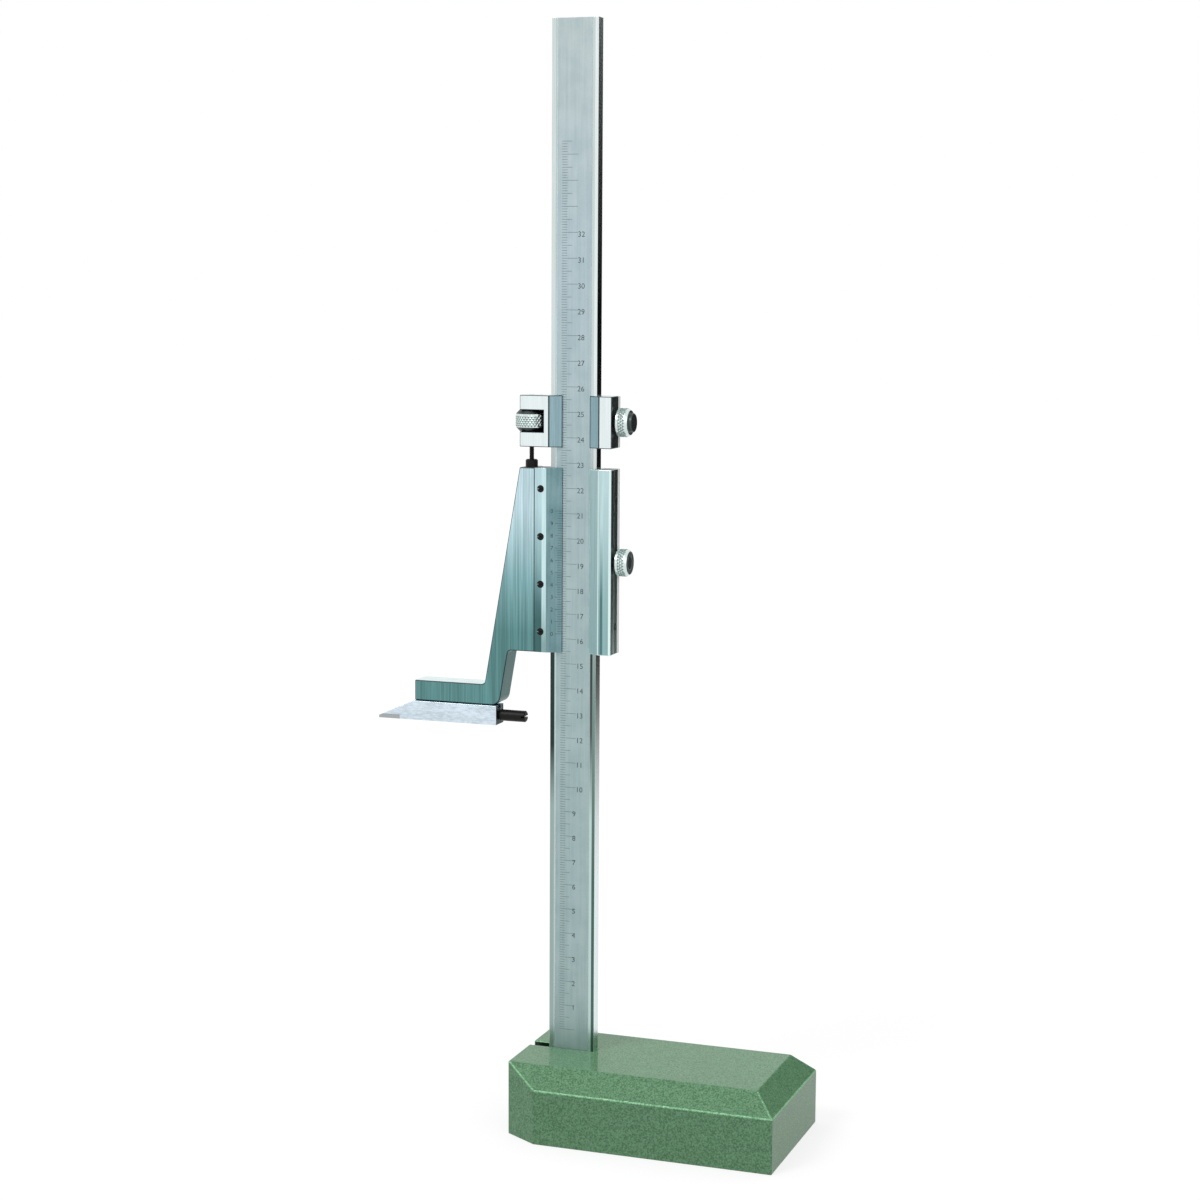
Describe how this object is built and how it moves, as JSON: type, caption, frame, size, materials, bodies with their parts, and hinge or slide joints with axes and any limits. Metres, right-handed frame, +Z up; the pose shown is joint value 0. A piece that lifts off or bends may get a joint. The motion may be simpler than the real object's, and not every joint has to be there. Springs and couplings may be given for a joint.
{
  "type": "vernier height gauge",
  "caption": "Surface gauge with a graduated beam on a block base, a vernier slider with a long arm and chisel scriber, a fine feed block and clamp screws.",
  "frame": {"origin": "centre of the base's flat underside, which rests on the surface plate", "axes": "+Z up along the beam, +X right along the base away from the scriber, +Y to the back; the scale and the vernier face -Y"},
  "size_m": [0.1765, 0.0654, 0.44],
  "materials": {
    "green_enamel": "glossy grey-green stoving enamel",
    "beam_steel": "satin stainless steel with bright ground margins",
    "slider_steel": "fine ground steel",
    "feed_steel": "fine ground steel",
    "scale_steel": "matt steel for the vernier scale",
    "knob_steel": "knurled and turned steel",
    "screw_steel": "turned steel screws",
    "scriber_steel": "ground tool steel",
    "black_steel": "black oxide steel",
    "carbide": "ground carbide",
    "pad_brass": "turned brass"
  },
  "bodies": {
    "stand": {"base": "green_enamel", "beam": "beam_steel", "beam_screws": "black_steel"},
    "slider": {"slider_frame": "slider_steel", "slider_rail": "slider_steel", "slider_back_plate": "slider_steel", "slider_back_screws": "screw_steel", "vernier_plate": "scale_steel", "vernier_screws": "black_steel", "slider_gib": "slider_steel", "gib_screws": "black_steel", "feed_screw": "black_steel", "feed_screw_locknut": "black_steel"},
    "slider_pad": {"slider_clamp_pad": "pad_brass"},
    "slider_clamp": {"slider_clamp_screw": "knob_steel"},
    "feed": {"feed_block": "feed_steel", "feed_block_rail": "feed_steel", "feed_block_back_plate": "feed_steel", "feed_block_back_screws": "screw_steel"},
    "nut": {"feed_nut": "knob_steel"},
    "feed_pad": {"feed_clamp_pad": "pad_brass"},
    "feed_clamp": {"feed_clamp_screw": "knob_steel"},
    "marker": {"scriber": "scriber_steel", "scriber_tip": "carbide"},
    "lock_screw": {"scriber_lock_screw": "black_steel"},
    "lock_plug": {"scriber_lock_plug": "pad_brass"}
  },
  "joints": [
    {"name": "height_slide", "type": "slide", "parent": "stand", "child": "slider", "axis": [0, 0, 1], "range_m": [-0.162, 0.138]},
    {"name": "slider_clamp_feed", "type": "slide", "parent": "slider", "child": "slider_pad", "axis": [1, 0, 0], "range_m": [0, 0.00035]},
    {"name": "slider_clamp_turn", "type": "hinge", "parent": "slider_pad", "child": "slider_clamp", "pos_m": [-0.0175, 0.0021, 0.22925], "axis": [1, 0, 0], "range_deg": [0, 180]},
    {"name": "fine_feed", "type": "slide", "parent": "slider", "child": "feed", "axis": [0, 0, 1], "range_m": [-0.003, 0.003]},
    {"name": "feed_nut_turn", "type": "hinge", "parent": "feed", "child": "nut", "pos_m": [-0.0566, 0.0021, 0.2844], "axis": [0, 0, 1], "range_deg": [-2700, 2700]},
    {"name": "feed_clamp_feed", "type": "slide", "parent": "feed", "child": "feed_pad", "axis": [1, 0, 0], "range_m": [0, 0.00035]},
    {"name": "feed_clamp_turn", "type": "hinge", "parent": "feed_pad", "child": "feed_clamp", "pos_m": [-0.0175, 0.0021, 0.2844], "axis": [1, 0, 0], "range_deg": [0, 180]},
    {"name": "scriber_slide", "type": "slide", "parent": "slider", "child": "marker", "axis": [-1, 0, 0], "range_m": [0, 0.02]},
    {"name": "lock_screw_turn", "type": "hinge", "parent": "marker", "child": "lock_screw", "pos_m": [-0.0665, -0.0011, 0.1657], "axis": [1, 0, 0], "range_deg": [0, 60]},
    {"name": "lock_plug_lift", "type": "slide", "parent": "marker", "child": "lock_plug", "axis": [0, 0, -1], "range_m": [0, 0.0001166]}
  ],
  "couplings": [
    {"joint": "slider_clamp_turn", "follows": "slider_clamp_feed", "rad_per_m": 8976},
    {"joint": "feed_nut_turn", "follows": "fine_feed", "rad_per_m": -15708},
    {"joint": "feed_clamp_turn", "follows": "feed_clamp_feed", "rad_per_m": 8976},
    {"joint": "lock_screw_turn", "follows": "lock_plug_lift", "rad_per_m": 8976}
  ]
}
